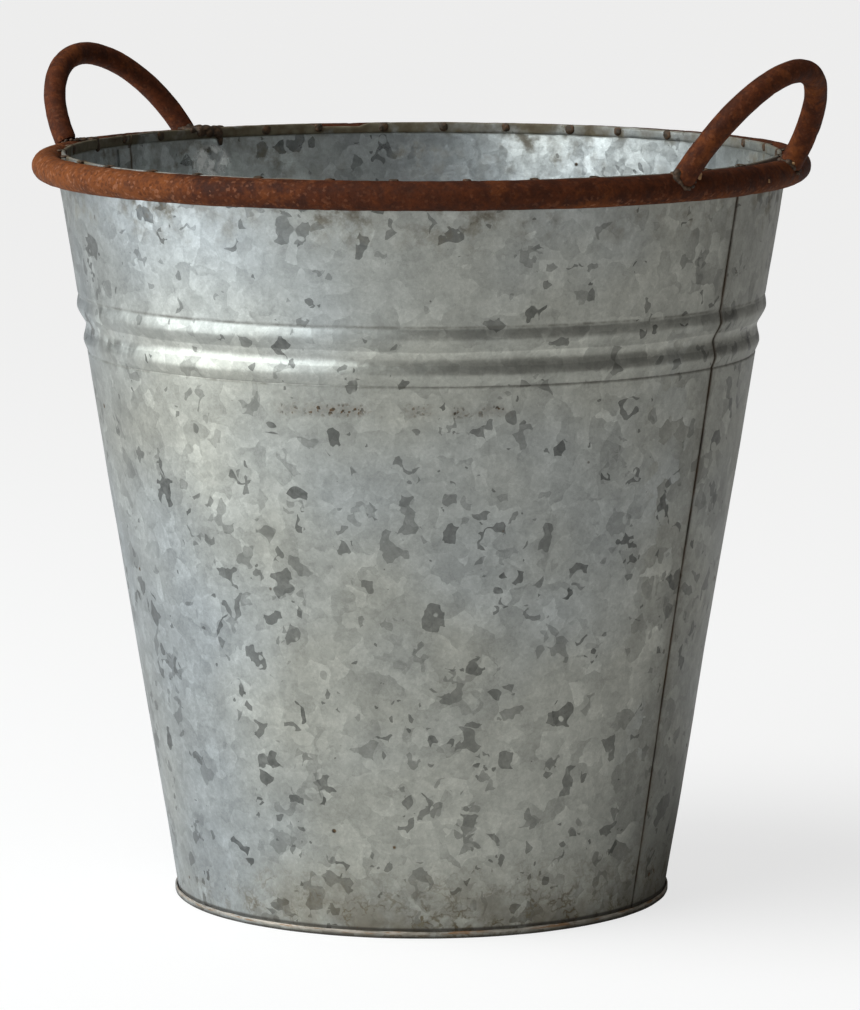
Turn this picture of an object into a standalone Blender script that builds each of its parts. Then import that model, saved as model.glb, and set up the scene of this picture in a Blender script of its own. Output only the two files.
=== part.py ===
"""Florist bucket: a tapered galvanized pail with two swaged beads, a rod rim
ring and two welded rod loop handles.

Frame: metres, +Z up, origin at the centre of the footprint on the floor.
The two loop handles stand on the +X and -X sides, over the two side seams.
Run with: blender --background --python part.py
"""
import math

import bmesh
import bpy
from mathutils import Vector

MM = 0.001
GAP = 0.3 * MM                 # clearance kept between pieces that touch

# ---- sheet body -----------------------------------------------------------
SHEET_T = 0.8 * MM             # galvanized sheet thickness
R_FOOT = 104.6 * MM            # outer radius of the cone at the floor
TAPER = 0.1607                 # radius gained per unit height
WALL_Z0 = 1.2 * MM             # lower edge, seated in the bottom's fold
Z_SHOULDER = 306.6 * MM        # where the cone necks in to pass the ring
Z_COLLAR = 310.2 * MM          # above this the wall is a straight collar
R_COLLAR = 152.6 * MM          # outer radius of the collar
WALL_TOP = 319.0 * MM          # top edge, level with the ring
HEM_H = 4.6 * MM               # height of the folded hem inside the mouth
HEM_T = 0.85 * MM              # extra thickness of the hem

# swaged beads: (height, radial offset from the cone)
BEAD_TOP = 258.4 * MM
BEAD_1 = 253.3 * MM
BEAD_GROOVE = 245.8 * MM
BEAD_2 = 238.7 * MM
BEAD_BOTTOM = 234.2 * MM
BEAD_1_OUT = 1.25 * MM
BEAD_GROOVE_OUT = -1.35 * MM
BEAD_2_OUT = 0.85 * MM
BEAD_EDGE_OUT = -0.25 * MM

# ---- side seams -----------------------------------------------------------
SEAM_ANGLE = 1.8               # degrees round from the handle axis
LAP_MM = 9.0                   # overlap of one panel under the other
LAP_STEP = 0.8 * MM + GAP      # how far the tail is set in
SEAM_RAMP_DEG = 0.30           # the joggle between panel and tail
SEAM_SLOT_DEG = 0.55           # visible line between the two panels
TAIL_TOP = 312.8 * MM          # the tail is notched below the hem
TAIL_FOOT = 9.0 * MM           # and above the bottom's skirt

# ---- bottom ---------------------------------------------------------------
BOTTOM_Z = 6.2 * MM            # underside of the recessed bottom
CHIME_H = 2.9 * MM             # height of the outer fold
CHIME_R = 106.3 * MM           # outer radius of the fold
CHIME_T = 0.85 * MM

# ---- rim ring -------------------------------------------------------------
RING_R = 159.0 * MM            # centreline radius: 330 mm outside
RING_ROD = 6.0 * MM            # rod radius
RING_Z = 312.8 * MM

# ---- handles --------------------------------------------------------------
HANDLE_ROD = 4.7 * MM
HANDLE_TILT = 33.5             # degrees outwards from vertical
HANDLE_R0 = 154.2 * MM         # where the loop's plane meets its base line
HANDLE_Z0 = 313.7 * MM
HANDLE_FOOT = 7.2 * MM         # the rod is cut this far up its plane
HANDLES = {                    # half width, height, roundness, side
    "handle_right": (42.6 * MM, 54.1 * MM, 1.98, 1),
    "handle_left": (43.2 * MM, 47.4 * MM, 1.93, -1),
}

# ---- welds ----------------------------------------------------------------
TACKS = 34                     # pitch count of the tack welds round the rim
TACK_PHASE = 77.8              # degrees
TACK_W = 3.4 * MM
FOOT_WELD = (7.6 * MM, 8.4 * MM, 4.4 * MM)

SEG = 72                       # facets round a full turn


# ---------------------------------------------------------------- helpers --
def clear():
    for obj in list(bpy.data.objects):
        bpy.data.objects.remove(obj, do_unlink=True)


def material(name, rgb, metallic, roughness):
    mat = bpy.data.materials.get(name) or bpy.data.materials.new(name)
    mat.use_nodes = True
    bsdf = mat.node_tree.nodes["Principled BSDF"]
    bsdf.inputs["Base Color"].default_value = (*rgb, 1.0)
    bsdf.inputs["Metallic"].default_value = metallic
    bsdf.inputs["Roughness"].default_value = roughness
    return mat


def finish(name, bm, mat, angle=32.0):
    bmesh.ops.remove_doubles(bm, verts=bm.verts, dist=1e-7)
    bmesh.ops.recalc_face_normals(bm, faces=bm.faces)
    mesh = bpy.data.meshes.new(name)
    bm.to_mesh(mesh)
    bm.free()
    mesh.shade_smooth()
    mesh.set_sharp_from_angle(angle=math.radians(angle))
    mesh.materials.append(mat)
    obj = bpy.data.objects.new(name, mesh)
    bpy.context.scene.collection.objects.link(obj)
    return obj


def bridge_rings(bm, rings, closed):
    """Skin a list of equal loops of vertices; cap the ends if it is open."""
    n = len(rings[0])
    pairs = list(zip(rings, rings[1:]))
    if closed:
        pairs.append((rings[-1], rings[0]))
    for a, b in pairs:
        for i in range(n):
            j = (i + 1) % n
            bm.faces.new((a[i], a[j], b[j], b[i]))
    if not closed:
        bmesh.ops.triangulate(bm, faces=[bm.faces.new(rings[0]),
                                         bm.faces.new(rings[-1])])


# -------------------------------------------------------------- wall sheet --
def cone(z):
    return R_FOOT + TAPER * z


def ease(t):
    return 0.5 - 0.5 * math.cos(math.pi * min(1.0, max(0.0, t)))


def outer_radius(z):
    """Outer radius of the wall at height z: cone, beads, neck and collar."""
    stops = [(BEAD_BOTTOM - 1.2 * MM, 0.0), (BEAD_BOTTOM, BEAD_EDGE_OUT),
             (BEAD_2, BEAD_2_OUT), (BEAD_GROOVE, BEAD_GROOVE_OUT),
             (BEAD_1, BEAD_1_OUT), (BEAD_TOP, BEAD_EDGE_OUT),
             (BEAD_TOP + 1.2 * MM, 0.0)]
    r = cone(z)
    for (za, oa), (zb, ob) in zip(stops, stops[1:]):
        if za <= z <= zb:
            r += oa + (ob - oa) * ease((z - za) / (zb - za))
    if z > Z_SHOULDER:
        r = cone(Z_SHOULDER) + (R_COLLAR - cone(Z_SHOULDER)) * ease(
            (z - Z_SHOULDER) / (Z_COLLAR - Z_SHOULDER))
    return r


def wall_loop():
    """Closed (r, z) outline of the sheet with its hem, bottom to top."""
    heights = [WALL_Z0, 60 * MM, 120 * MM, 180 * MM, BEAD_BOTTOM - 1.2 * MM,
               BEAD_BOTTOM, 236.5 * MM, BEAD_2, 242.2 * MM, BEAD_GROOVE,
               249.5 * MM, BEAD_1, 255.9 * MM, BEAD_TOP, BEAD_TOP + 1.2 * MM,
               282 * MM, Z_SHOULDER, 308.4 * MM, Z_COLLAR]
    outer = [(outer_radius(z), z) for z in heights]
    top = [(R_COLLAR, WALL_TOP - 0.5 * MM),
           (R_COLLAR - 0.3 * MM, WALL_TOP),
           (R_COLLAR - SHEET_T - HEM_T + 0.3 * MM, WALL_TOP),
           (R_COLLAR - SHEET_T - HEM_T, WALL_TOP - 0.5 * MM),
           (R_COLLAR - SHEET_T - HEM_T, WALL_TOP - HEM_H + 0.4 * MM),
           (R_COLLAR - SHEET_T, WALL_TOP - HEM_H)]
    inner = [(r - SHEET_T, z) for r, z in outer]
    inner[0] = (inner[0][0], WALL_Z0)
    return outer + top + inner[::-1]


def tail_point(r, z, inset):
    """The lap tail: set in under the next panel and notched at both ends."""
    if z > Z_COLLAR - 1e-6:
        f = (z - Z_COLLAR) / (WALL_TOP - Z_COLLAR)
        z = Z_COLLAR + f * (TAIL_TOP - Z_COLLAR)
        if r < R_COLLAR - SHEET_T - 1e-6:
            r = R_COLLAR - SHEET_T
    if z < TAIL_FOOT:
        r += cone(TAIL_FOOT) - cone(z)
        z = TAIL_FOOT
    return r - inset, z


def wall_panel(name, start, mat):
    """A half panel from start to start + 180 degrees, plus its lap tail."""
    loop = wall_loop()
    slot = SEAM_SLOT_DEG
    sweep = 180.0 - slot
    steps = SEG // 2
    angles = [start + slot + sweep * i / steps for i in range(steps + 1)]
    bm = bmesh.new()
    rings = []

    def ring(angle, points):
        c, s = math.cos(math.radians(angle)), math.sin(math.radians(angle))
        rings.append([bm.verts.new((r * c, r * s, z)) for r, z in points])

    for a in angles:
        ring(a, loop)
    notch = [tail_point(r, z, 0.0) for r, z in loop]
    tail = [tail_point(r, z, LAP_STEP) for r, z in loop]
    lap = math.degrees(LAP_MM * MM / 130e-3)
    ring(angles[-1] + 0.04, notch)
    ring(angles[-1] + SEAM_RAMP_DEG, tail)
    ring(angles[-1] + SEAM_RAMP_DEG + lap, tail)
    bridge_rings(bm, rings, closed=False)
    return finish(name, bm, mat)


# ------------------------------------------------------------------ bottom --
def bottom_pan(mat):
    """Recessed disc whose skirt folds round the wall's lower edge."""
    leg_o = lambda z: cone(z) - SHEET_T - 0.05 * MM - GAP
    fold_in = leg_o(0) - CHIME_T
    outline = [(0.0, BOTTOM_Z + CHIME_T),
               (leg_o(BOTTOM_Z) - 1.2 * MM, BOTTOM_Z + CHIME_T),
               (leg_o(BOTTOM_Z + CHIME_T), BOTTOM_Z - 0.1 * MM),
               (leg_o(CHIME_T), CHIME_T),
               (CHIME_R - CHIME_T, CHIME_T),
               (CHIME_R - CHIME_T + 0.1 * MM, CHIME_H - 0.3 * MM),
               (CHIME_R - 0.45 * MM, CHIME_H),
               (CHIME_R, CHIME_H - 0.5 * MM),
               (CHIME_R, 0.7 * MM),
               (CHIME_R - 0.5 * MM, 0.0),
               (fold_in + 0.5 * MM, 0.0),
               (fold_in, 0.6 * MM),
               (leg_o(BOTTOM_Z) - CHIME_T - 0.4 * MM, BOTTOM_Z - 1.0 * MM),
               (leg_o(BOTTOM_Z) - 2.2 * MM, BOTTOM_Z),
               (0.0, BOTTOM_Z)]
    bm = bmesh.new()
    centre_top = bm.verts.new((0, 0, outline[0][1]))
    centre_low = bm.verts.new((0, 0, outline[-1][1]))
    rings = []
    for i in range(SEG):
        a = 2 * math.pi * i / SEG
        rings.append([bm.verts.new((r * math.cos(a), r * math.sin(a), z))
                      for r, z in outline[1:-1]])
    for i in range(SEG):
        a, b = rings[i], rings[(i + 1) % SEG]
        bm.faces.new((centre_top, a[0], b[0]))
        bm.faces.new((centre_low, b[-1], a[-1]))
        for k in range(len(a) - 1):
            bm.faces.new((a[k], a[k + 1], b[k + 1], b[k]))
    return finish("bottom_pan", bm, mat)


# -------------------------------------------------------------- round rods --
def tube(bm, centres, radius, sides, closed=False, up=Vector((0, 0, 1))):
    """Sweep a circle along points, keeping it square to the path."""
    rings = []
    n = len(centres)
    for i, c in enumerate(centres):
        if closed:
            d = centres[(i + 1) % n] - centres[i - 1]
        else:
            d = centres[min(i + 1, n - 1)] - centres[max(i - 1, 0)]
        d.normalize()
        u = up.cross(d).normalized()
        v = d.cross(u).normalized()
        rings.append([bm.verts.new(
            c + radius * (math.cos(2 * math.pi * k / sides) * u
                          + math.sin(2 * math.pi * k / sides) * v))
            for k in range(sides)])
    bridge_rings(bm, rings, closed)


def ring_mesh(radius, sides=12, seg=SEG):
    bm = bmesh.new()
    centres = [Vector((RING_R * math.cos(2 * math.pi * i / seg),
                       RING_R * math.sin(2 * math.pi * i / seg), RING_Z))
               for i in range(seg)]
    tube(bm, centres, radius, sides, closed=True)
    return bm


def loop_centres(half, height, power, side, foot, steps=26):
    """Centreline of a loop handle: an arch in a plane that leans outwards."""
    tilt = math.radians(HANDLE_TILT)
    start = math.asin(min(1.0, (foot / height))) * 0.995
    pts = []
    for i in range(steps + 1):
        t = start + (math.pi - 2 * start) * i / steps
        across = -half * math.copysign(abs(math.cos(t)) ** (2 / power),
                                       math.cos(t))
        up = height * math.sin(t) ** (2 / power)
        pts.append(Vector((side * (HANDLE_R0 + up * math.sin(tilt)),
                           side * across,
                           HANDLE_Z0 + up * math.cos(tilt))))
    return pts


def handle_mesh(name, radius, foot, sides=12, steps=26):
    half, height, power, side = HANDLES[name]
    bm = bmesh.new()
    tilt = math.radians(HANDLE_TILT)
    # the plane's own normal keeps the section from twisting
    normal = Vector((side * math.cos(tilt), 0, -math.sin(tilt)))
    tube(bm, loop_centres(half, height, power, side, foot, steps), radius,
         sides, up=normal)
    return bm


# ------------------------------------------------------------------- welds --
def tack(name, angle, mat):
    """A tack weld: a short saddle from inside the hem over to the ring."""
    r_in = R_COLLAR - SHEET_T - HEM_T - GAP
    z_top = WALL_TOP + GAP
    path = [(r_in - 0.30 * MM, WALL_TOP - 3.9 * MM, 0.30),
            (r_in - 0.55 * MM, WALL_TOP - 2.9 * MM, 0.80),
            (r_in - 0.60 * MM, WALL_TOP - 1.3 * MM, 1.00),
            (r_in - 0.42 * MM, z_top + 0.05 * MM, 1.00),
            (r_in + 0.35 * MM, z_top + 0.42 * MM, 0.95),
            (r_in + 1.30 * MM, z_top + 0.42 * MM, 0.85),
            (r_in + 2.20 * MM, z_top + 0.15 * MM, 0.60)]
    ca, sa = math.cos(math.radians(angle)), math.sin(math.radians(angle))
    bm = bmesh.new()
    rings = []
    n = len(path)
    for i, (r, z, w) in enumerate(path):
        r0, z0, _ = path[max(i - 1, 0)]
        r1, z1, _ = path[min(i + 1, n - 1)]
        dr, dz = r1 - r0, z1 - z0
        ln = math.hypot(dr, dz)
        nr, nz = -dz / ln, dr / ln          # points away from the sheet
        half_t = min(0.5 * MM, 0.52 * MM * w + 0.05 * MM)
        half_w = 0.5 * TACK_W * w
        if i in (0, n - 1):
            half_t *= 0.6
        section = []
        for wy, ty in ((-1, -1), (1, -1), (1, 0.2), (0.55, 1), (-0.55, 1),
                       (-1, 0.2)):
            rr, zz = r + nr * half_t * ty, z + nz * half_t * ty
            x = rr * ca - wy * half_w * sa
            y = rr * sa + wy * half_w * ca
            section.append(bm.verts.new((x, y, zz)))
        rings.append(section)
    bridge_rings(bm, rings, closed=False)
    return finish(name, bm, mat, 50)


def foot_weld(name, handle, end, mat):
    """Weld metal piled round a handle's foot, cut clear of its neighbours."""
    half, height, power, side = HANDLES[handle]
    pts = loop_centres(half, height, power, side, HANDLE_FOOT)
    foot = pts[0] if end == 0 else pts[-1]
    away = (pts[1] - pts[0]) if end == 0 else (pts[-2] - pts[-1])
    away.normalize()
    centre = foot - away * 1.0 * MM
    radial = Vector((centre.x, centre.y, 0)).normalized()
    tangent = Vector((-radial.y, radial.x, 0))
    bm = bmesh.new()
    rings = []
    rows, cols = 7, 14
    tip = bm.verts.new(centre + Vector((0, 0, FOOT_WELD[2])))
    base = bm.verts.new(centre - Vector((0, 0, FOOT_WELD[2])))
    for i in range(1, rows):
        lat = math.pi * i / rows
        rings.append([bm.verts.new(
            centre
            + radial * FOOT_WELD[0] * math.sin(lat) * math.cos(2 * math.pi * k / cols)
            + tangent * FOOT_WELD[1] * math.sin(lat) * math.sin(2 * math.pi * k / cols)
            + Vector((0, 0, FOOT_WELD[2] * math.cos(lat))))
            for k in range(cols)])
    for k in range(cols):
        j = (k + 1) % cols
        bm.faces.new((tip, rings[0][k], rings[0][j]))
        bm.faces.new((base, rings[-1][j], rings[-1][k]))
        for a, b in zip(rings, rings[1:]):
            bm.faces.new((a[k], b[k], b[j], a[j]))
    weld = finish(name, bm, mat, 50)

    cutters = [
        finish("cut_ring", ring_mesh(RING_ROD + GAP, 16), mat),
        finish("cut_rod", handle_mesh(handle, HANDLE_ROD + GAP,
                                      HANDLE_FOOT - GAP * 1.5, 14), mat),
        collar_cutter(mat)]
    for cutter in cutters:
        cutter.hide_render = True
        cutter.display_type = 'WIRE'
        mod = weld.modifiers.new(cutter.name, 'BOOLEAN')
        mod.operation = 'DIFFERENCE'
        mod.solver = 'EXACT'
        mod.object = cutter
    deps = bpy.context.evaluated_depsgraph_get()
    done = bpy.data.meshes.new_from_object(weld.evaluated_get(deps))
    weld.modifiers.clear()
    weld.data = done
    weld.data.name = name
    for cutter in cutters:
        bpy.data.objects.remove(cutter, do_unlink=True)
    return weld


def collar_cutter(mat):
    """Everything inside the ring below the rim: keeps the weld off the wall."""
    bm = bmesh.new()
    r_out, r_in = R_COLLAR + 1.2 * MM, R_COLLAR - 30 * MM
    z0, z1 = RING_Z - 20 * MM, WALL_TOP + GAP + 0.1 * MM
    rings = []
    for i in range(SEG):
        a = 2 * math.pi * i / SEG
        rings.append([bm.verts.new((r * math.cos(a), r * math.sin(a), z))
                      for r, z in ((r_in, z0), (r_out, z0), (r_out, z1),
                                   (r_in, z1))])
    bridge_rings(bm, rings, closed=True)
    return finish("cut_collar", bm, mat)


# -------------------------------------------------------------------- main --
def build():
    clear()
    zinc = material("galvanized_sheet", (0.47, 0.49, 0.48), 0.75, 0.45)
    rust = material("rusted_steel", (0.16, 0.065, 0.035), 0.15, 0.8)
    weld = material("weld_metal", (0.10, 0.06, 0.04), 0.3, 0.75)

    wall_panel("wall_back", SEAM_ANGLE, zinc)
    wall_panel("wall_front", SEAM_ANGLE + 180.0, zinc)
    bottom_pan(zinc)
    finish("rim_ring", ring_mesh(RING_ROD), rust)

    foot_angles = []
    for name, (half, height, power, side) in HANDLES.items():
        finish(name, handle_mesh(name, HANDLE_ROD, HANDLE_FOOT), rust)
        pts = loop_centres(half, height, power, side, HANDLE_FOOT)
        for end, label in ((0, "a"), (1, "b")):
            foot = pts[0] if end == 0 else pts[-1]
            foot_angles.append(math.degrees(math.atan2(foot.y, foot.x)) % 360)
            foot_weld("weld_" + name.split("_")[1] + "_" + label, name, end,
                      weld)

    count = 0
    for k in range(TACKS):
        angle = (TACK_PHASE + 360.0 * k / TACKS) % 360.0
        angle += 0.55 * math.sin(2.3 * k) + 0.35 * math.sin(5.1 * k + 1.0)
        near = min(abs((angle - f + 180) % 360 - 180) for f in foot_angles)
        if near < 5.2:
            continue               # a handle foot is welded here instead
        count += 1
        tack("rim_tack_%02d" % count, angle, weld)


build()
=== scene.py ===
"""Looks of the florist bucket: weathered galvanized sheet, rusted rod, welds."""
import math
import random

import bmesh
import bpy
import numpy as np
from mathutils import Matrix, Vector, noise


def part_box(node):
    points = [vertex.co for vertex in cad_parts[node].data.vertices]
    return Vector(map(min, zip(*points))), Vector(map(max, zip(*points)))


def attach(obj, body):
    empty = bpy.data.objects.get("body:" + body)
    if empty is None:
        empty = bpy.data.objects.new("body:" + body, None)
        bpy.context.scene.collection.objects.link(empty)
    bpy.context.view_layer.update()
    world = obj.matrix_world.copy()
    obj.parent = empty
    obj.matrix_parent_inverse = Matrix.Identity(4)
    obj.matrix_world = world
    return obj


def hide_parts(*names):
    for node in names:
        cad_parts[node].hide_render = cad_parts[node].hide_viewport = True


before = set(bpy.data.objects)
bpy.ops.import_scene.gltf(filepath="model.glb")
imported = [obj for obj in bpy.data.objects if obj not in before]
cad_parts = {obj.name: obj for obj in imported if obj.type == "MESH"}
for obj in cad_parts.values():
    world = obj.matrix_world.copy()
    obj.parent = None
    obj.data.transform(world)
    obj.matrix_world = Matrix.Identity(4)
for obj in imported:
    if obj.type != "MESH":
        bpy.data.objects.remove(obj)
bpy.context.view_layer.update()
MM = 0.001
random.seed(7)


# ------------------------------------------------- sizes, read from the CAD --
ring_lo, ring_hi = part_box("rim_ring")
ROD = (ring_hi.z - ring_lo.z) / 2
RING_Z = (ring_hi.z + ring_lo.z) / 2
RING_R = ring_hi.x - ROD
wall_lo, wall_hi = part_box("wall_front")
pan_lo, pan_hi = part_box("bottom_pan")
WALL_Z0, WALL_TOP = wall_lo.z, wall_hi.z
CHIME_R = pan_hi.x

SHEET = 0.8 * MM
R_FOOT, TAPER = 104.6 * MM, 0.1607
Z_SHOULDER, Z_COLLAR, R_COLLAR = 306.6 * MM, 310.2 * MM, 152.6 * MM
HEM_H, HEM_T = 4.6 * MM, 0.85 * MM
BEADS = [(233.9, 0.0), (234.4, -0.25), (238.7, 0.85), (245.8, -1.35),
         (253.3, 1.25), (258.4, -0.25), (259.0, 0.0)]
SEAM = 1.8                       # degrees, the seam beside the +X handle
VIEW_AZ = 34.1                   # the camera's azimuth

# ---------------------------------------------------------------- materials --


class Graph:
    """Short names for building a node tree."""

    def __init__(self, name):
        self.mat = bpy.data.materials.new(name)
        self.mat.use_nodes = True
        self.nt = self.mat.node_tree
        self.bsdf = self.nt.nodes["Principled BSDF"]

    def node(self, kind, props=None, **ins):
        n = self.nt.nodes.new(kind)
        for k, v in (props or {}).items():
            setattr(n, k, v)
        for k, v in ins.items():
            key = int(k[1:]) if k[0] == "i" and k[1:].isdigit() else k.replace("_", " ")
            self.put(n.inputs[key], v)
        return n

    def put(self, socket, value):
        if isinstance(value, bpy.types.NodeSocket):
            self.nt.links.new(value, socket)
        elif value is not None:
            socket.default_value = value

    def m(self, op, a, b=None, c=None, clamp=False):
        n = self.node("ShaderNodeMath", {"operation": op, "use_clamp": clamp})
        for i, v in enumerate((a, b, c)):
            if v is not None:
                self.put(n.inputs[i], v)
        return n.outputs[0]

    def vm(self, op, a, b=None, scale=None):
        n = self.node("ShaderNodeVectorMath", {"operation": op})
        self.put(n.inputs[0], a)
        if b is not None:
            self.put(n.inputs[1], b)
        if scale is not None:
            self.put(n.inputs["Scale"], scale)
        return n.outputs[0]

    def ramp(self, x, lo, hi, to_lo=0.0, to_hi=1.0, smooth=False):
        n = self.node("ShaderNodeMapRange", {
            "clamp": True, "interpolation_type": "SMOOTHSTEP" if smooth else "LINEAR"})
        for i, v in enumerate((x, lo, hi, to_lo, to_hi)):
            self.put(n.inputs[i], v)
        return n.outputs[0]

    def noise(self, p, scale, detail=2.0, rough=0.5, out=0):
        n = self.node("ShaderNodeTexNoise", Vector=p, Scale=scale,
                      Detail=detail, Roughness=rough)
        return n.outputs[out]

    def voronoi(self, p, scale, feature="F1"):
        n = self.node("ShaderNodeTexVoronoi", {"feature": feature},
                      Vector=p, Scale=scale)
        return n

    def mix(self, f, a, b, mode="MIX"):
        n = self.node("ShaderNodeMix", {"data_type": "RGBA", "blend_type": mode})
        self.put(n.inputs[0], f)
        self.put(n.inputs[6], a)
        self.put(n.inputs[7], b)
        return n.outputs[2]

    def split(self, v):
        n = self.node("ShaderNodeSeparateXYZ", Vector=v)
        return n.outputs

    def splitc(self, v):
        n = self.node("ShaderNodeSeparateColor", Color=v)
        return n.outputs

    def grey(self, v):
        n = self.node("ShaderNodeCombineColor", Red=v, Green=v, Blue=v)
        return n.outputs[0]


def rgba(r, g, b):
    return (r, g, b, 1.0)


def zinc_material(name="galvanized_zinc", dark=0.17):
    g = Graph(name)
    P = g.node("ShaderNodeTexCoord").outputs["Object"]
    x, y, z = g.split(P)[0:3]
    angle = g.m("MULTIPLY", g.m("ARCTAN2", y, x), 180 / math.pi)
    r = g.m("SQRT", g.m("ADD", g.m("MULTIPLY", x, x), g.m("MULTIPLY", y, y)))

    def warped(scale, amount, detail=2.0):
        w = g.vm("SUBTRACT", g.noise(P, scale, detail, out=1), (0.5, 0.5, 0.5))
        return g.vm("ADD", P, g.vm("SCALE", w, scale=amount))

    # crystals of the zinc: pale, barely different from each other
    p1 = warped(110, 0.009)
    cells = g.voronoi(p1, 105)
    c1 = g.splitc(cells.outputs["Color"])
    fine = g.voronoi(warped(260, 0.004), 260)
    c2 = g.splitc(fine.outputs["Color"])
    cloud = g.noise(P, 16, 3)
    cloud2 = g.noise(P, 46, 3)
    grain = g.noise(P, 700, 4, 0.6)
    tone = g.ramp(c1[0], 0, 1, 0.91, 1.09)
    tone = g.m("MULTIPLY", tone, g.ramp(c2[0], 0, 1, 0.94, 1.06))
    tone = g.m("MULTIPLY", tone, g.ramp(cloud, 0.3, 0.7, 0.92, 1.07))
    tone = g.m("MULTIPLY", tone, g.ramp(cloud2, 0.3, 0.7, 0.95, 1.05))
    tone = g.m("MULTIPLY", tone, g.ramp(grain, 0.3, 0.7, 0.93, 1.07))

    # each crystal shades from one side to the other
    span = g.vm("SUBTRACT", p1, cells.outputs["Position"])
    grow = g.vm("SUBTRACT", cells.outputs["Color"], (0.5, 0.5, 0.5))
    dot_n = g.node("ShaderNodeVectorMath", {"operation": "DOT_PRODUCT"})
    g.put(dot_n.inputs[0], span)
    g.put(dot_n.inputs[1], grow)
    leaf = g.ramp(dot_n.outputs["Value"], -0.0022, 0.0022, 0.90, 1.10)
    tone = g.m("MULTIPLY", tone, leaf)
    marble = g.noise(P, 330, 5, 0.68)
    tone = g.m("MULTIPLY", tone, g.ramp(marble, 0.32, 0.68, 0.91, 1.09))
    vein = g.m("ABSOLUTE", g.m("SUBTRACT", g.noise(warped(90, 0.006), 150, 4, 0.6), 0.5))
    tone = g.m("MULTIPLY", tone, g.ramp(vein, 0.0, 0.035, 1.09, 1.0))
    crack = g.m("ABSOLUTE", g.m("SUBTRACT", g.noise(warped(130, 0.006), 210, 4, 0.62), 0.5))
    tone = g.m("MULTIPLY", tone, g.ramp(crack, 0.0, 0.022, 0.90, 1.0))

    # dark flakes: a few crystals, cut into shards
    p2 = warped(170, 0.0072, 1.0)
    flake = g.voronoi(p2, 112)
    f = g.splitc(flake.outputs["Color"])
    crowd = g.ramp(g.noise(P, 22, 1), 0.35, 0.65, dark * 0.40, dark * 1.45)
    crowd = g.m("MULTIPLY", crowd, g.ramp(z, 0.24, 0.10, 0.75, 1.1))
    pick = g.ramp(g.m("SUBTRACT", crowd, f[0]), -0.0005, 0.0005)
    cut = g.ramp(g.noise(g.vm("ADD", P, (0.3, 0.1, 0.7)), 150, 0.5), 0.455, 0.475)
    shard = g.m("MULTIPLY", pick, cut)
    # thinner slivers between crystals
    p3 = warped(120, 0.012, 1.0)
    fl3 = g.voronoi(g.vm("ADD", p3, (1.7, 0.4, 0.2)), 190)
    f3 = g.splitc(fl3.outputs["Color"])
    pick3 = g.ramp(g.m("SUBTRACT", g.m("MULTIPLY", crowd, 0.32), f3[0]), -0.0005, 0.0005)
    cut3 = g.ramp(g.noise(g.vm("ADD", P, (2.3, 1.1, 0.7)), 240, 0.5), 0.45, 0.47)
    sliver = g.m("MULTIPLY", pick3, cut3)
    depth = g.ramp(f[1], 0, 1, 0.18, 0.66)
    depth3 = g.ramp(f3[1], 0, 1, 0.25, 0.62)
    shade = g.noise(P, 330, 2)
    depth = g.m("MULTIPLY", depth, g.ramp(shade, 0.3, 0.7, 0.75, 1.15))
    # dots
    dots = g.voronoi(warped(420, 0.0035, 1.0), 330)
    fd = g.splitc(dots.outputs["Color"])
    dot = g.m("MULTIPLY", g.ramp(fd[0], 0.022, 0.018),
              g.ramp(dots.outputs["Distance"], 0.30, 0.24))
    dark_amount = g.m("MAXIMUM", g.m("MULTIPLY", shard, depth),
                      g.m("MULTIPLY", sliver, depth3))
    dark_amount = g.m("MAXIMUM", dark_amount, g.m("MULTIPLY", dot, 0.55))
    tone = g.m("MULTIPLY", tone, g.m("SUBTRACT", 1.0, dark_amount))

    # darker right-hand side, past a scalloped crystal edge: partly weathered zinc, partly painted shade on the side
    # turned from the softbox
    turned = g.m("ADD", angle, g.m("MULTIPLY", g.m("SUBTRACT", c1[1], 0.5), 13.0))
    dull = g.m("MULTIPLY", g.ramp(turned, -9.0, -5.0), g.ramp(turned, 75.0, 35.0))
    tone = g.m("MULTIPLY", tone, g.ramp(dull, 0.0, 1.0, 1.0, 0.76))
    # cool-to-warm tint: partly random, partly painted shade colour, warming towards the right-front (side) and over
    # the darker right-hand side
    cool = rgba(0.412, 0.440, 0.450)
    warm = rgba(0.424, 0.426, 0.384)
    side = g.m("COSINE", g.m("MULTIPLY", g.m("ADD", angle, 12.0), math.pi / 180))
    hue = g.ramp(g.m("ADD", g.noise(P, 9, 2), g.m("ADD", g.m("MULTIPLY", side, 0.16), g.m("MULTIPLY", dull, 0.10))), 0.38, 0.68)
    col = g.mix(hue, cool, warm)
    col = g.mix(1.0, col, g.grey(tone), "MULTIPLY")

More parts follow.
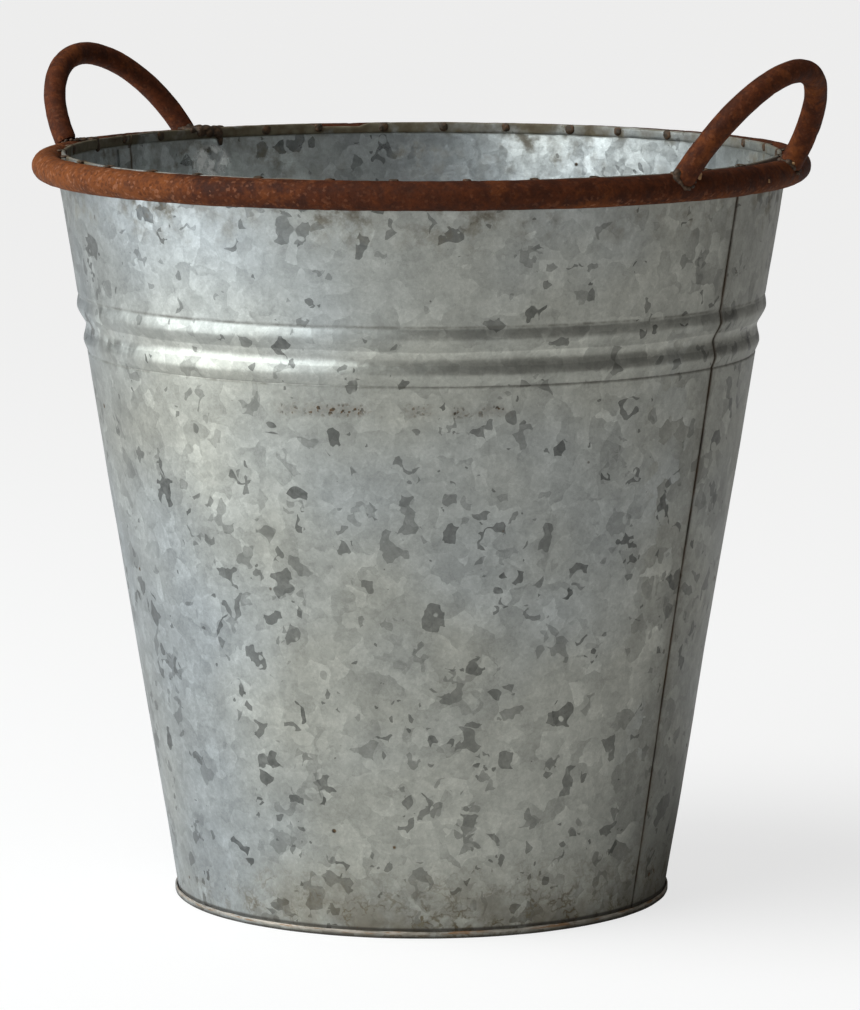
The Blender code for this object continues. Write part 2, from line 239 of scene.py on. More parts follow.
    # dirt and stains; the inside is less weathered and a little brighter
    blot = g.noise(P, 120, 5, 0.65)
    blot_big = g.noise(P, 30, 3)
    outside = g.ramp(g.m("SUBTRACT", r, g.m("MULTIPLY", z, TAPER)),
                     R_FOOT - 0.0006, R_FOOT - 0.0004)
    outside = g.m("MAXIMUM", outside, g.ramp(r, R_COLLAR - 0.0004, R_COLLAR - 0.0002))
    col = g.mix(1.0, col, g.grey(g.ramp(outside, 0.0, 1.0, 1.28, 1.0)), "MULTIPLY")
    worm = g.m("ABSOLUTE", g.m("SUBTRACT", g.noise(warped(160, 0.004), 240, 3), 0.5))
    worm = g.ramp(worm, 0.015, 0.075, 1.0, 0.45)
    low = g.m("MULTIPLY", g.ramp(z, 0.036, 0.006), g.ramp(blot, 0.36, 0.60))
    low = g.m("MULTIPLY", low, worm)
    # the dark band near the foot grows heavier towards the right-hand side (far_side)
    far_side = g.m("COSINE", g.m("MULTIPLY", g.m("SUBTRACT", angle, 10.0), math.pi / 180))
    low = g.m("MULTIPLY", low, g.ramp(g.m("ADD", blot_big, g.m("MULTIPLY", far_side, 0.22)), 0.30, 0.58, 0.3, 1.35))
    smear = g.m("MULTIPLY", g.ramp(z, 0.034, 0.004), g.ramp(g.noise(P, 55, 4, 0.6), 0.36, 0.60, 0.16, 0.88))
    smear = g.m("MULTIPLY", smear, g.ramp(g.m("ADD", blot_big, g.m("MULTIPLY", far_side, 0.30)), 0.30, 0.62, 0.2, 1.0))
    low = g.m("MAXIMUM", low, smear)
    foot = g.ramp(z, 0.0046, 0.0030)
    foot = g.m("MULTIPLY", foot, g.ramp(blot, 0.36, 0.58, 0.2, 1.0))
    high = g.m("MULTIPLY", g.ramp(z, 0.286, 0.305), g.ramp(blot, 0.47, 0.64))
    high = g.m("MULTIPLY", high, g.ramp(blot_big, 0.42, 0.62, 0.1, 1.0))
    band = g.m("MULTIPLY", g.ramp(z, 0.3135, 0.3146),
               g.ramp(g.m("ADD", g.noise(P, 70, 4), g.m("MULTIPLY", g.m("COSINE", g.m(
                   "MULTIPLY", g.m("SUBTRACT", angle, 170.0), math.pi / 180)), 0.20)), 0.40, 0.66, 0.2, 1.25))
    beat = g.m("SUBTRACT", g.m("WRAP", g.m("SUBTRACT", angle, 77.8), 360.0 / 68, -360.0 / 68), 0.0)
    halo_t = g.m("MULTIPLY", g.ramp(g.m("ABSOLUTE", beat), 2.1, 0.5),
                 g.m("MULTIPLY", g.ramp(z, 0.3115, 0.3150), g.ramp(blot, 0.38, 0.56)))
    band = g.m("MAXIMUM", band, g.m("MULTIPLY", halo_t, g.m("SUBTRACT", 1.1, outside)))
    seam_a = g.m("ABSOLUTE", g.m("SUBTRACT", angle, SEAM - 0.12))
    seam_b = g.m("ABSOLUTE", g.m("SUBTRACT", angle, SEAM - 180.12))
    seam_d = g.m("MINIMUM", seam_a, seam_b)
    seam = g.m("MULTIPLY", g.ramp(seam_d, 0.66, 0.26),
               g.ramp(g.noise(P, 60, 3), 0.3, 0.6, 0.45, 1.0))
    halo = g.m("MULTIPLY", g.ramp(seam_d, 3.0, 0.3), g.m("MULTIPLY", g.ramp(blot, 0.36, 0.66, 0.06, 0.50), g.ramp(z, 0.26, 0.10, 0.45, 1.0)))
    lip = g.m("MULTIPLY", g.ramp(z, 0.3178, 0.3184), g.ramp(g.noise(P, 60, 3), 0.35, 0.6, 0.55, 1.0))
    dirt = g.m("MAXIMUM", low, high)
    dirt = g.m("MAXIMUM", dirt, lip)
    dirt = g.m("MAXIMUM", dirt, band)
    dirt = g.m("MAXIMUM", dirt, halo)
    dirt = g.m("MULTIPLY", dirt, 0.86, clamp=True)
    dirt_col = g.mix(g.ramp(g.noise(P, 210, 3), 0.35, 0.65),
                     rgba(0.175, 0.150, 0.098), rgba(0.115, 0.088, 0.050))
    col = g.mix(dirt, col, dirt_col)
    rust_amount = g.m("MAXIMUM", g.m("MULTIPLY", seam, 0.92),
                      g.m("MULTIPLY", foot, 0.35))
    col = g.mix(rust_amount, col, g.mix(g.ramp(g.noise(P, 45, 2), 0.4, 0.6),
                                        rgba(0.045, 0.034, 0.022), rgba(0.085, 0.048, 0.018)))
    # the fold at the foot: pale worn ridge with rusty streaks, and painted shadow, near black, underneath it and in
    # the crevice above it
    proud = g.m("MULTIPLY", g.ramp(z, 0.0034, 0.0031), g.ramp(r, CHIME_R - 0.0011, CHIME_R - 0.0008))
    worn = g.m("MULTIPLY", proud, g.ramp(z, 0.0014, 0.0020))
    streak = g.node("ShaderNodeMapping", Vector=P)
    streak.inputs["Scale"].default_value = (1.0, 1.0, 6.0)
    run = g.noise(streak.outputs[0], 95, 4, 0.65)
    col = g.mix(g.m("MULTIPLY", worn, g.ramp(run, 0.36, 0.60, 0.15, 0.85)), col, rgba(0.56, 0.50, 0.43))
    rusty = g.m("MULTIPLY", worn, g.ramp(g.noise(streak.outputs[0], 60, 4, 0.7), 0.54, 0.62, 0.0, 0.75))
    col = g.mix(rusty, col, rgba(0.30, 0.135, 0.035))
    # painted shadow: near black on the chime's lowest 1.3 mm at the floor, and in the crevice just above the fold
    under = g.m("MULTIPLY", g.ramp(z, 0.0013, 0.0007), g.ramp(run, 0.3, 0.6, 0.55, 0.95))
    crevice_shade = g.m("MULTIPLY", g.ramp(g.m("ABSOLUTE", g.m("SUBTRACT", z, 0.0036)), 0.0009, 0.0002), 0.75)
    painted_foot_shade = g.m("MAXIMUM", under, crevice_shade)
    col = g.mix(painted_foot_shade, col, rgba(0.040, 0.034, 0.028))
    # sparse rusty pin holes, and the row of specks under the beads
    pin = g.voronoi(g.vm("ADD", P, (0.9, 0.2, 0.5)), 170)
    pc = g.splitc(pin.outputs["Color"])
    pins = g.m("MULTIPLY", g.ramp(pc[0], 0.012, 0.010),
               g.ramp(pin.outputs["Distance"], 0.20, 0.12))
    row = g.m("MULTIPLY", g.ramp(g.m("ABSOLUTE", g.m("SUBTRACT", z, 0.2243)), 0.0034, 0.0012),
              g.ramp(g.m("ABSOLUTE", g.m("ADD", angle, 61.0)), 21.0, 18.0))
    crumbs = g.voronoi(warped(500, 0.003), 520)
    crumb = g.m("MULTIPLY", g.ramp(g.splitc(crumbs.outputs["Color"])[0], 0.66, 0.60),
                g.ramp(crumbs.outputs["Distance"], 0.52, 0.34))
    clump = g.ramp(g.noise(P, 85, 2), 0.40, 0.52)
    row = g.m("MULTIPLY", row, g.m("MAXIMUM", g.m("MULTIPLY", crumb, clump), g.m("MULTIPLY", clump, 0.26)))
    spots = g.m("MAXIMUM", pins, g.m("MULTIPLY", row, 0.95))
    col = g.mix(spots, col, g.mix(g.ramp(g.noise(P, 800, 1), 0.45, 0.55),
                                  rgba(0.115, 0.062, 0.022), rgba(0.045, 0.030, 0.016)))

    edge = g.m("MINIMUM", g.m("ABSOLUTE", g.m("SUBTRACT", z, 0.2587)),
               g.m("ABSOLUTE", g.m("SUBTRACT", z, 0.2341)))
    line = g.m("MULTIPLY", g.ramp(edge, 0.0009, 0.0001), g.ramp(blot, 0.36, 0.64, 0.12, 0.62))
    line = g.m("MAXIMUM", line, g.m("MULTIPLY", g.ramp(
        g.m("ABSOLUTE", g.m("SUBTRACT", z, 0.2459)), 0.0022, 0.0004), 0.16))
    col = g.mix(line, col, rgba(0.085, 0.075, 0.055))
    # this mask gathers dirt, rust, specks, dark edge lines, wear, dust and the painted shadow at the foot; it dulls
    # the metal
    soil_and_shade = g.m("MAXIMUM", g.m("MAXIMUM", dirt, rust_amount), g.m("MAXIMUM", spots, line))
    soil_and_shade = g.m("MAXIMUM", soil_and_shade, g.m("MAXIMUM", g.m("MULTIPLY", worn, 0.5), painted_foot_shade))
    # the bottom inside is dusty and dull
    deep = g.m("MULTIPLY", g.m("SUBTRACT", 1.0, outside), g.ramp(z, 0.060, 0.012))
    deep = g.m("MULTIPLY", deep, g.m("MULTIPLY", g.ramp(z, 0.0020, 0.0034), g.ramp(blot_big, 0.3, 0.7, 0.62, 0.82)))
    col = g.mix(deep, col, rgba(0.155, 0.146, 0.122))
    soil_and_shade = g.m("MAXIMUM", soil_and_shade, deep)
    # crumpled patch inside, under the back foot of the left handle, with a painted highlight: its base colour is
    # lifted to near white
    da = g.m("DIVIDE", g.m("SUBTRACT", angle, 162.5), 4.2)
    dz = g.m("DIVIDE", g.m("SUBTRACT", z, 0.3035), 0.0085)
    near = g.m("SUBTRACT", 1.0, g.m("ADD", g.m("MULTIPLY", da, da), g.m("MULTIPLY", dz, dz)))
    near = g.m("MULTIPLY", g.ramp(near, 0.0, 0.5), g.m("SUBTRACT", 1.0, outside))
    painted_glint = g.m("MULTIPLY", near, g.ramp(g.noise(warped(200, 0.004), 260, 3), 0.42, 0.58))
    col = g.mix(painted_glint, col, rgba(0.95, 0.97, 0.97))
    g.put(g.bsdf.inputs["Base Color"], col)
    g.put(g.bsdf.inputs["Metallic"], g.m("MULTIPLY", g.ramp(soil_and_shade, 0.0, 1.0, 0.88, 0.1), g.m("SUBTRACT", 1.0, g.m("MULTIPLY", near, 0.6))))
    rough = g.ramp(c1[1], 0, 1, 0.37, 0.46)
    rough = g.m("SUBTRACT", rough, g.m("MULTIPLY", dark_amount, 0.10))
    rough = g.m("SUBTRACT", rough, g.m("MULTIPLY", g.m("SUBTRACT", 1.0, outside), 0.06))
    rough = g.m("ADD", rough, g.m("MULTIPLY", soil_and_shade, 0.35))
    rough = g.m("ADD", rough, g.m("MULTIPLY", g.m("SUBTRACT", grain, 0.5), 0.12))
    rough = g.m("SUBTRACT", rough, g.m("MULTIPLY", painted_glint, 0.18))
    g.put(g.bsdf.inputs["Roughness"], rough)
    h = g.m("MULTIPLY", c1[2], 0.35)
    h = g.m("ADD", h, g.m("MULTIPLY", cloud2, 1.2))
    h = g.m("ADD", h, g.m("MULTIPLY", g.noise(P, 150, 3), 0.8))
    h = g.m("ADD", h, g.m("MULTIPLY", grain, 0.22))
    h = g.m("SUBTRACT", h, g.m("MULTIPLY", dark_amount, 0.5))
    h = g.m("ADD", h, g.m("MULTIPLY", soil_and_shade, 0.5))
    h = g.m("ADD", h, g.m("MULTIPLY", marble, 0.9))
    h = g.m("ADD", h, g.m("MULTIPLY", painted_glint, 1.6))
    bump = g.node("ShaderNodeBump", Strength=0.6, Distance=0.00017, Height=h)
    # every crystal faces a slightly different way
    tip = g.vm("SCALE", g.vm("SUBTRACT", cells.outputs["Color"], (0.5, 0.5, 0.5)), scale=0.085)
    tip2 = g.vm("SCALE", g.vm("SUBTRACT", fine.outputs["Color"], (0.5, 0.5, 0.5)), scale=0.05)
    normal = g.vm("NORMALIZE", g.vm("ADD", bump.outputs[0], g.vm("ADD", tip, tip2)))
    g.put(g.bsdf.inputs["Normal"], normal)
    return g.mat


def rust_material(name, light=1.0, ringed=True):
    """Rusted rod: dark brown with orange patches, pits and scale."""
    g = Graph(name)
    P = g.node("ShaderNodeTexCoord").outputs["Object"]
    x, y, z = g.split(P)[0:3]
    angle = g.m("MULTIPLY", g.m("ARCTAN2", y, x), 180 / math.pi)
    big = g.noise(P, 34, 3)
    mid = g.noise(P, 170, 4, 0.6)
    fine = g.noise(P, 900, 4, 0.65)
    cells = g.splitc(g.voronoi(g.vm("ADD", P, g.vm("SCALE", g.noise(P, 300, 2, out=1), scale=0.003)), 420).outputs["Color"])
    dark = rgba(0.050 * light, 0.0130 * light, 0.0048 * light)
    brown = rgba(0.100 * light, 0.0255 * light, 0.0080 * light)
    orange = rgba(0.230 * light, 0.068 * light, 0.0165 * light)
    pale = rgba(0.33 * light, 0.138 * light, 0.072 * light)
    col = g.mix(g.ramp(mid, 0.36, 0.62), dark, brown)
    # the ring's left side, which faces the softbox, is a brighter orange with pale flecks: partly weathered, worn
    # scale, partly painted light
    turn = g.m("ABSOLUTE", g.m("WRAP", g.m("ADD", angle, 128.0), 180.0, -180.0))
    side = g.ramp(turn, 66.0, 18.0)
    under = g.m("MULTIPLY", g.ramp(z, 0.3120, 0.3080),
                g.ramp(g.m("ABSOLUTE", g.m("ADD", angle, 8.0)), 34.0, 22.0))
    if not ringed:
        side = under = 0.0
    lean = g.m("ADD", g.m("MULTIPLY", side, 0.24), g.m("MULTIPLY", under, 0.16))
    spread = g.m("ADD", g.m("ADD", g.m("MULTIPLY", g.m("SUBTRACT", big, 0.5), 0.6),
                            g.m("MULTIPLY", g.m("SUBTRACT", mid, 0.5), 0.45)), lean)
    patches = g.ramp(spread, 0.02, 0.30)
    col = g.mix(g.m("MULTIPLY", patches, 0.9), col, orange)
    grit = g.splitc(g.voronoi(P, 850).outputs["Color"])
    col = g.mix(g.m("MULTIPLY", g.ramp(grit[0], 0.80, 0.95), g.ramp(lean, 0.0, 0.2, 0.10, 0.62)), col, pale)
    col = g.mix(g.ramp(grit[1], 0.25, 0.08, 0.0, 0.45), col, dark)
    col = g.mix(g.ramp(cells[1], 0.16, 0.05, 0.0, 0.35), col, dark)
    col = g.mix(1.0, col, g.grey(g.ramp(fine, 0.3, 0.7, 0.80, 1.22)), "MULTIPLY")
    g.put(g.bsdf.inputs["Base Color"], col)
    g.put(g.bsdf.inputs["Roughness"], g.ramp(mid, 0.3, 0.7, 0.62, 0.86))
    g.bsdf.inputs["Metallic"].default_value = 0.0
    g.bsdf.inputs["Specular IOR Level"].default_value = 0.15
    h = g.m("ADD", g.m("MULTIPLY", mid, 1.3), g.m("MULTIPLY", fine, 0.45))
    h = g.m("ADD", h, g.m("MULTIPLY", cells[1], 0.25))
    bump = g.node("ShaderNodeBump", Strength=0.9, Distance=0.00045, Height=h)
    g.put(g.bsdf.inputs["Normal"], bump.outputs[0])
    return g.mat


def weld_material(name, base, hot, metallic):
    g = Graph(name)
    P = g.node("ShaderNodeTexCoord").outputs["Object"]
    mid = g.noise(P, 420, 4, 0.6)
    fine = g.noise(P, 1500, 3, 0.6)
    col = g.mix(g.ramp(mid, 0.42, 0.62), rgba(*base), rgba(*hot))
    col = g.mix(1.0, col, g.grey(g.ramp(fine, 0.3, 0.7, 0.8, 1.2)), "MULTIPLY")
    g.put(g.bsdf.inputs["Base Color"], col)
    g.put(g.bsdf.inputs["Roughness"], g.ramp(mid, 0.3, 0.7, 0.45, 0.75))
    g.bsdf.inputs["Metallic"].default_value = metallic
    bump = g.node("ShaderNodeBump", Strength=0.8, Distance=0.0003,
                  Height=g.m("ADD", mid, g.m("MULTIPLY", fine, 0.4)))
    g.put(g.bsdf.inputs["Normal"], bump.outputs[0])
    return g.mat


ZINC = zinc_material()
RUST = rust_material("rusted_rod", 0.88)
RUST_DARK = rust_material("rusted_rod_handles", 1.06, ringed=False)
WELD = weld_material("weld_bead", (0.040, 0.024, 0.014), (0.105, 0.058, 0.030), 0.22)
TACK = weld_material("tack_weld", (0.045, 0.032, 0.018), (0.12, 0.060, 0.028), 0.15)
CHIP = weld_material("rust_chip", (0.30, 0.15, 0.055), (0.55, 0.33, 0.16), 0.0)


# ------------------------------------------------------------- mesh helpers --
def make(name, verts, faces, mat, angle=40.0, sub=None):
    mesh = bpy.data.meshes.new(name)
    mesh.from_pydata([tuple(v) for v in verts], [], faces)
    mesh.validate()
    mesh.update()
    return dress(name, mesh, mat, angle)


def dress(name, mesh, mat, angle=40.0):
    bm = bmesh.new()
    bm.from_mesh(mesh)
    bmesh.ops.recalc_face_normals(bm, faces=bm.faces)
    bm.to_mesh(mesh)
    bm.free()
    mesh.shade_smooth()
    if angle:
        mesh.set_sharp_from_angle(angle=math.radians(angle))
    mesh.materials.clear()
    mesh.materials.append(mat)
    obj = bpy.data.objects.new(name, mesh)
    bpy.context.scene.collection.objects.link(obj)
    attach(obj, "root")
    return obj


def skin(rings, closed_u, closed_v, base=0):
    """Quad faces between rows of vertex indices on a regular grid."""
    nu, nv = rings
    faces = []
    for i in range(nu if closed_u else nu - 1):
        i2 = (i + 1) % nu
        for j in range(nv if closed_v else nv - 1):
            j2 = (j + 1) % nv
            faces.append((base + i * nv + j, base + i2 * nv + j,
                          base + i2 * nv + j2, base + i * nv + j2))
    return faces


def n3(x, y, z):
    return noise.noise(Vector((x, y, z)))


def ease(t):
    t = min(1.0, max(0.0, t))
    return 0.45 * t + 0.55 * (0.5 - 0.5 * math.cos(math.pi * t))


def outer_radius(z, bead=1.0):
    r = R_FOOT + TAPER * z
    for (za, oa), (zb, ob) in zip(BEADS, BEADS[1:]):
        if za * MM <= z <= zb * MM:
            t = (z - za * MM) / ((zb - za) * MM)
            if oa == -0.25:          # the zone's own edges are crisp
                t = ease(0.5 + 0.5 * t) * 2 - 1
            elif ob == -0.25 and oa > 0:
                t = ease(0.5 * t) * 2
            else:
                t = ease(t)
            r += bead * (oa + (ob - oa) * t) * MM
    if z > Z_SHOULDER:
        a = R_FOOT + TAPER * Z_SHOULDER
        r = a + (R_COLLAR - a) * ease((z - Z_SHOULDER) / (Z_COLLAR - Z_SHOULDER))
    return r


def sheet_bend(angle, z):
    """Slow waves of hand-worked sheet, in metres outwards."""
    a = math.radians(angle)
    cx, cy = math.cos(a) * 150 * MM, math.sin(a) * 150 * MM
    d = 0.34 * n3(cx / 0.060, cy / 0.060, z / 0.075)
    d += 0.16 * n3(cx / 0.024 + 9, cy / 0.024, z / 0.028)
    d += 0.05 * n3(cx / 0.010, cy / 0.010 + 5, z / 0.011)
    hold = min(1.0, max(0.0, (z - 6 * MM) / (30 * MM)))
    hold *= min(1.0, max(0.0, (Z_SHOULDER + 1 * MM - z) / (14 * MM)))
    return d * hold * MM


CREASE = VIEW_AZ - 90.0 - 66.5       # where the bead roller started and stopped


def crease(angle, z):
    """The pinched start of the beads on the left of the pail."""
    s = (angle - CREASE + 180) % 360 - 180
    arc = s * math.radians(1) * 142          # mm along the wall
    lift = max(0.0, 1 - abs(z - 0.2455) / 0.016)
    lift = lift ** 0.6
    arc -= (0.2455 - z) / 0.016 * 5.0        # it runs down to the right
    dent = -0.85 * math.exp(-(arc / 2.2) ** 2) * lift
    dent += 0.40 * math.exp(-((arc - 3.8) / 1.8) ** 2) * lift
    dent -= 0.30 * math.exp(-((arc + 13.0) / 1.8) ** 2) * lift
    crumple = 0.5 * n3(arc / 4.0, z / 0.004, 3.1) * math.exp(-((arc + 12) / 11) ** 2) * lift
    return (dent + crumple) * MM


def bead_gain(angle):
    s = (angle - CREASE + 180) % 360 - 180
    arc = s * math.radians(1) * 142
    if arc > 0.7:
        return 1.0
    if arc > -14:
        return 1.0 - 0.48 * min(1.0, (0.7 - arc) / 1.4)
    return 1.0 - 0.48 * math.exp(-((arc + 14) / 9.0) ** 2)


# ------------------------------------------------------------------- walls --
def wall_heights():
    zs = [WALL_Z0, 3 * MM, 5 * MM]
    z = 9 * MM
    while z < 228 * MM:
        zs.append(z)
        z += 4.5 * MM
    z = 229.5 * MM
    while z < 261 * MM:
        zs.append(z)
        z += 0.62 * MM
    while z < Z_SHOULDER - 1 * MM:
        zs.append(z)
        z += 4.0 * MM
    z = Z_SHOULDER - 0.6 * MM
    while z < Z_COLLAR + 0.2 * MM:
        zs.append(z)
        z += 0.45 * MM
    zs += [312 * MM, WALL_TOP - HEM_H - 0.3 * MM]
    return zs


HEIGHTS = wall_heights()


def wall_loop(angle, tail=0.0, notch=False):
    """Outline of the sheet at one angle: (radius, z) pairs, closed."""
    gain = bead_gain(angle)
    edge_wave = 0.28 * MM * n3(math.cos(math.radians(angle)) * 7,
                               math.sin(math.radians(angle)) * 7, 0.5)
    edge_wave += 0.10 * MM * n3(math.cos(math.radians(angle)) * 23,
                                math.sin(math.radians(angle)) * 23, 4.5)
    to_front = math.cos(math.radians(angle - (VIEW_AZ - 90)))
    edge_wave -= 0.48 * MM * max(0.0, to_front)
    edge_wave += 0.32 * MM * max(0.0, -to_front)
    off = abs((angle - 138.4 + 180) % 360 - 180)
    edge_wave -= 1.5 * MM * min(1.0, max(0.0, (5.2 - off) / 1.6))
    outer, flat = [], []
    for z in HEIGHTS:
        r = outer_radius(z, gain) + sheet_bend(angle, z)
        r += crease(angle, z)
        outer.append((r - tail, z))
        flat.append(outer_radius(z, gain))
    top_z = WALL_TOP - 0.30 * MM + edge_wave
    ri = R_COLLAR - SHEET - HEM_T
    crush = 0.25 * MM * n3(math.cos(math.radians(angle)) * 16,
                           math.sin(math.radians(angle)) * 16, 8.5)
    hem_low = WALL_TOP - HEM_H + 0.35 * crush
    cap = []
    mid, half = (R_COLLAR + ri) / 2, (R_COLLAR - ri) / 2
    for k in range(9):
        a = math.pi * k / 8
        cap.append((mid + half * math.cos(a), top_z - 0.55 * MM + 0.55 * MM * math.sin(a)))
    down = [(ri - 0.05 * MM + 0.10 * crush, top_z - 1.6 * MM),
            (ri + 0.02 * MM, hem_low + 1.3 * MM),
            (ri + 0.05 * MM, hem_low + 0.45 * MM),
            (ri + 0.28 * MM, hem_low + 0.06 * MM),
            (ri + 0.62 * MM, hem_low)]
    lead = 280 * MM                  # inside, the wall leans out all the way up
    r_lead = R_FOOT + TAPER * lead - SHEET
    lean_in = (R_COLLAR - SHEET - r_lead) / (WALL_TOP - HEM_H - lead)
    inner = [(r - SHEET if z < lead else
              min(r - SHEET, r_lead + (z - lead) * lean_in + (r - tail_free)), z)
             for (r, z), tail_free in zip(outer, flat)]
    inner[-1] = (inner[-1][0], hem_low - 0.12 * MM)
    if notch:
        # the lap tail has no hem and stops short at both ends
        zt = 312.6 * MM
        cap = [(R_COLLAR - tail - SHEET * k / 8, zt + 0.05 * MM * k) for k in range(9)]
        down = [(R_COLLAR - tail - SHEET, zt + 0.30 * MM - 0.02 * MM * k) for k in range(5)]
        outer = [(r, min(z, 312.2 * MM - 0.01 * MM * (len(outer) - i)) if z > 312 * MM else z)
                 for i, (r, z) in enumerate(outer)]
        inner = [(r, min(z, 312.2 * MM - 0.01 * MM * (len(inner) - i)) if z > 312 * MM else z)
                 for i, (r, z) in enumerate(inner)]
        lift = 9 * MM
        outer = [(r + TAPER * (lift - z), lift + 0.02 * MM * i) if z < lift else (r, z)
                 for i, (r, z) in enumerate(outer)]
        inner = [(r + TAPER * (lift - z), lift + 0.02 * MM * i) if z < lift else (r, z)
                 for i, (r, z) in enumerate(inner)]
    return outer + cap + down + inner[::-1]


def wall(name, node, start):
    cols = 300
    stop = start + 180.0 - 0.42
    plan = [(start + (stop - start) * i / cols, 0.0, False) for i in range(cols + 1)]
    full = SHEET + 0.06 * MM
    plan += [(stop + 0.02, 0.0, True), (stop + 0.12, 0.22 * full, True),
             (stop + 0.24, 0.78 * full, True), (stop + 0.36, full, True)]
    plan += [(stop + 0.36 + 0.4 * k, full, True) for k in range(1, 10)]
    verts = []
    for a, tail, notch in plan:
        c, s = math.cos(math.radians(a)), math.sin(math.radians(a))
        for r, z in wall_loop(a, tail, notch):
            verts.append((r * c, r * s, z))
    m = len(verts) // len(plan)
    faces = skin((len(plan), m), False, True)
    # close the two edges with a strip between the outer and the inner side
    k = len(HEIGHTS)
    for row in (0, len(plan) - 1):
        o = row * m
        loop = [o + i for i in range(m)]
        i, j = 0, m - 1
        while j - i > 1:
            if i < k - 1 or j - i == 3:
                faces.append((loop[i], loop[i + 1], loop[j - 1], loop[j]))
                i, j = i + 1, j - 1
            else:
                faces.append(tuple(loop[i:j + 1]))
                break
    obj = make(name, verts, faces, ZINC, 38)
    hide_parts(node)
    return obj


wall("sheet_back", "wall_back", SEAM)
wall("sheet_front", "wall_front", SEAM + 180.0)


# -------------------------------------------------------------- bottom pan --
def bottom():
    leg = lambda z: R_FOOT + TAPER * z - SHEET - 0.08 * MM
    t = 0.85 * MM
    z_low = 6.2 * MM
    out = [(leg(z_low) - 26 * MM, z_low + t), (leg(z_low) - 1.8 * MM, z_low + t),
           (leg(z_low) - 0.6 * MM, z_low + t - 0.15 * MM),
           (leg(z_low) - 0.05 * MM, z_low - 0.1 * MM), (leg(3 * MM), 3 * MM),
           (leg(t), t + 0.1 * MM), (leg(t) + 0.4 * MM, t),
           (CHIME_R - t - 0.15 * MM, t), (CHIME_R - t, t + 0.25 * MM),
           (CHIME_R - t + 0.02 * MM, 2.2 * MM)]
    mid_r, top = CHIME_R - t / 2, 2.55 * MM
    for k in range(1, 7):
        a = math.pi - math.pi * k / 6
        out.append((mid_r + t / 2 * math.cos(a), top + 0.36 * MM * math.sin(a)))
    out += [(CHIME_R, 2.0 * MM), (CHIME_R + 0.0 * MM, 1.3 * MM),
            (CHIME_R - 0.02 * MM, 0.7 * MM), (CHIME_R - 0.18 * MM, 0.25 * MM),
            (CHIME_R - 0.5 * MM, 0.0), (leg(0) - t + 0.5 * MM, 0.0),
            (leg(0) - t + 0.1 * MM, 0.25 * MM), (leg(0) - t, 0.7 * MM),
            (leg(z_low) - t - 0.4 * MM, z_low - 1.6 * MM),
            (leg(z_low) - t - 0.9 * MM, z_low - 0.5 * MM),
            (leg(z_low) - 2.6 * MM, z_low), (leg(z_low) - 26 * MM, z_low)]
    seg = 360
    verts = []
    for i in range(seg):
        a = 2 * math.pi * i / seg
        c, s = math.cos(a), math.sin(a)
        for j, (r, z) in enumerate(out):
            if 10 <= j <= 20:            # the fold is a little uneven
                r += 0.16 * MM * n3(c * 9, s * 9, z * 300) - 0.10 * MM
                if z > 1.5 * MM:
                    z += 0.30 * MM * n3(c * 12, s * 12, 2.0) - 0.05 * MM
            verts.append((r * c, r * s, z))
    m = len(out)
    faces = skin((seg, m), True, False)
    # the disc itself, above and below, with faint concentric waves
    for end, zc in ((0, z_low + t), (m - 1, z_low)):
        prev = [i * m + end for i in range(seg)]
        r0 = out[end][0]
        for k in range(1, 9):
            r = r0 * (1 - k / 8)
            if k == 8:
                centre = len(verts)
                verts.append((0, 0, zc))
                for i in range(seg):
                    faces.append((prev[i], prev[(i + 1) % seg], centre))
                break
            base = len(verts)
            for i in range(seg):
                a = 2 * math.pi * i / seg
                w = 0.18 * MM * n3(math.cos(a) * r * 30, math.sin(a) * r * 30, 1.0)
                verts.append((r * math.cos(a), r * math.sin(a), zc + w))
            cur = [base + i for i in range(seg)]
            for i in range(seg):
                i2 = (i + 1) % seg
                faces.append((prev[i], prev[i2], cur[i2], cur[i]))
            prev = cur
    obj = make("bottom_and_chime", verts, faces, ZINC, 45)
    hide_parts("bottom_pan")


bottom()


# --------------------------------------------------------------- rusted rod --
def lumpy(p, radius, extra=0.0):
    """Radius of a forged, pitted rod at a point on its skin."""
    x, y, z = p
    d = 0.16 * n3(x / 0.030, y / 0.030, z / 0.030)
    d += 0.13 * n3(x / 0.0085, y / 0.0085, z / 0.0085)
    d += 0.07 * n3(x / 0.0030, y / 0.0030, z / 0.0030)
    pit = n3(x / 0.0042 + 3, y / 0.0042, z / 0.0042)
    if pit > 0.30:
        d -= 0.55 * (pit - 0.30)
    return radius + (extra - 0.04 + d) * MM


def ring():
    seg, sides = 900, 40
    verts = []
    for i in range(seg):
        a = 2 * math.pi * i / seg
        c, s = math.cos(a), math.sin(a)
        # the ring sits a touch below the hem along the back
        mid_z = RING_Z - 0.38 * MM * max(0.0, -math.cos(a - math.radians(VIEW_AZ - 90)))
        for k in range(sides):
            b = 2 * math.pi * k / sides
            p = ((RING_R + ROD * math.cos(b)) * c, (RING_R + ROD * math.cos(b)) * s,
                 mid_z + ROD * math.sin(b))
            rr = lumpy(p, ROD)
            verts.append(((RING_R + rr * math.cos(b)) * c,
                          (RING_R + rr * math.cos(b)) * s, mid_z + rr * math.sin(b)))
    obj = make("rim_rod", verts, skin((seg, sides), True, True), RUST,
               0)
    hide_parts("rim_ring")


ring()

TILT = math.radians(33.5)
HANDLE_R0, HANDLE_Z0, HROD = 154.2 * MM, 313.7 * MM, 4.7 * MM
LOOPS = {"handle_right": (42.6 * MM, 54.1 * MM, 1.98, 1),
         "handle_left": (43.2 * MM, 47.4 * MM, 1.93, -1)}


